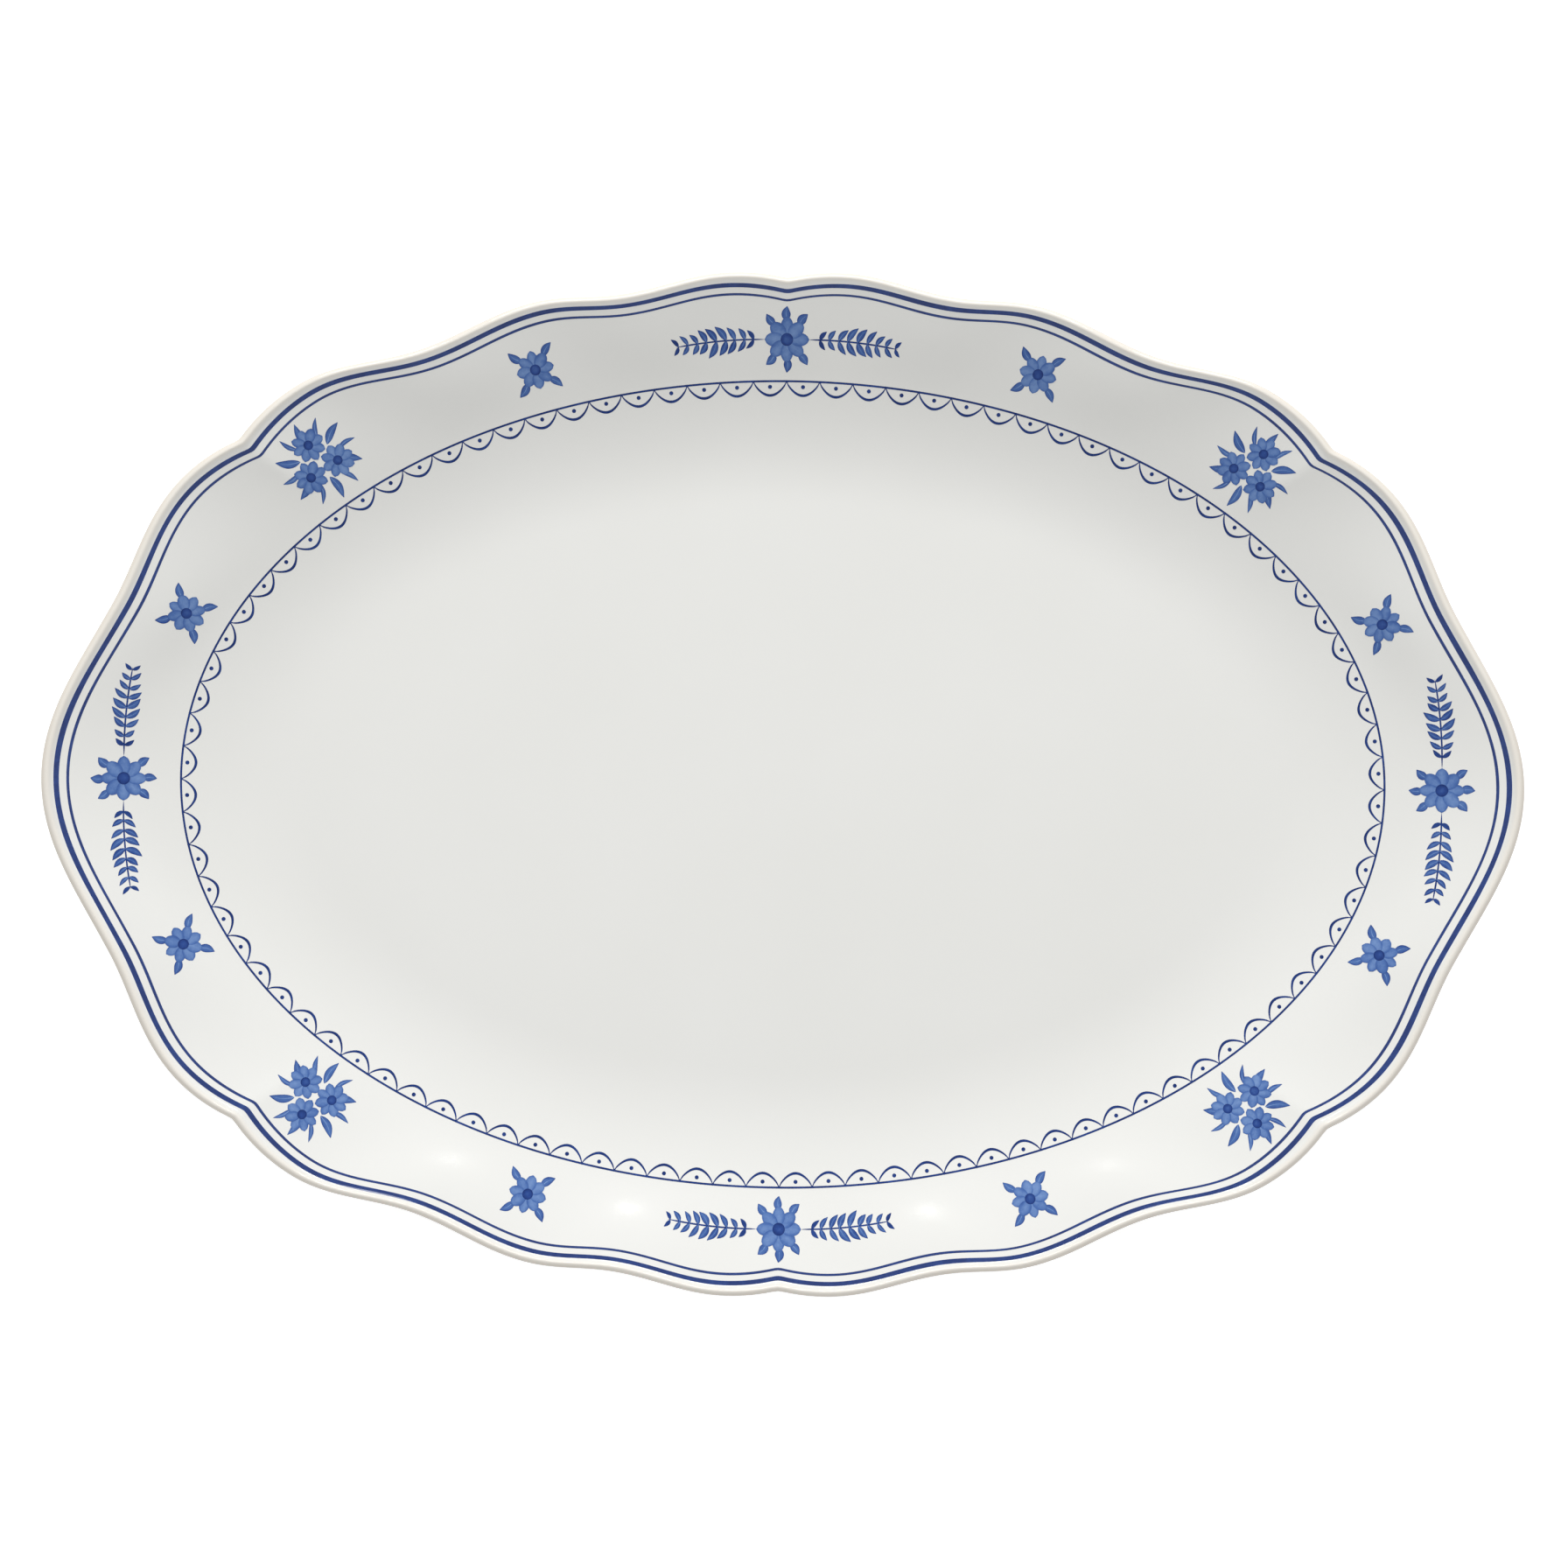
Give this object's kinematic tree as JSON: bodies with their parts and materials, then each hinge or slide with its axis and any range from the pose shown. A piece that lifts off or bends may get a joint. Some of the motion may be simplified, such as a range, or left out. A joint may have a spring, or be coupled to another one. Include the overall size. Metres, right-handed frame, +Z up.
{
  "type": "serving platter",
  "caption": "Oval china serving platter with a flat well, a sloping scalloped rim, a rounded lip and a foot ring under the well.",
  "frame": {"origin": "on the table, under the middle of the platter", "axes": "+X along the platter's length, +Y across its width, +Z up out of the well"},
  "size_m": [0.36, 0.2484, 0.026],
  "materials": {
    "china_glaze": "gloss",
    "cobalt_print": "gloss",
    "bare_foot": "matte"
  },
  "bodies": {
    "root": {"platter_body": "china_glaze"}
  },
  "joints": []
}
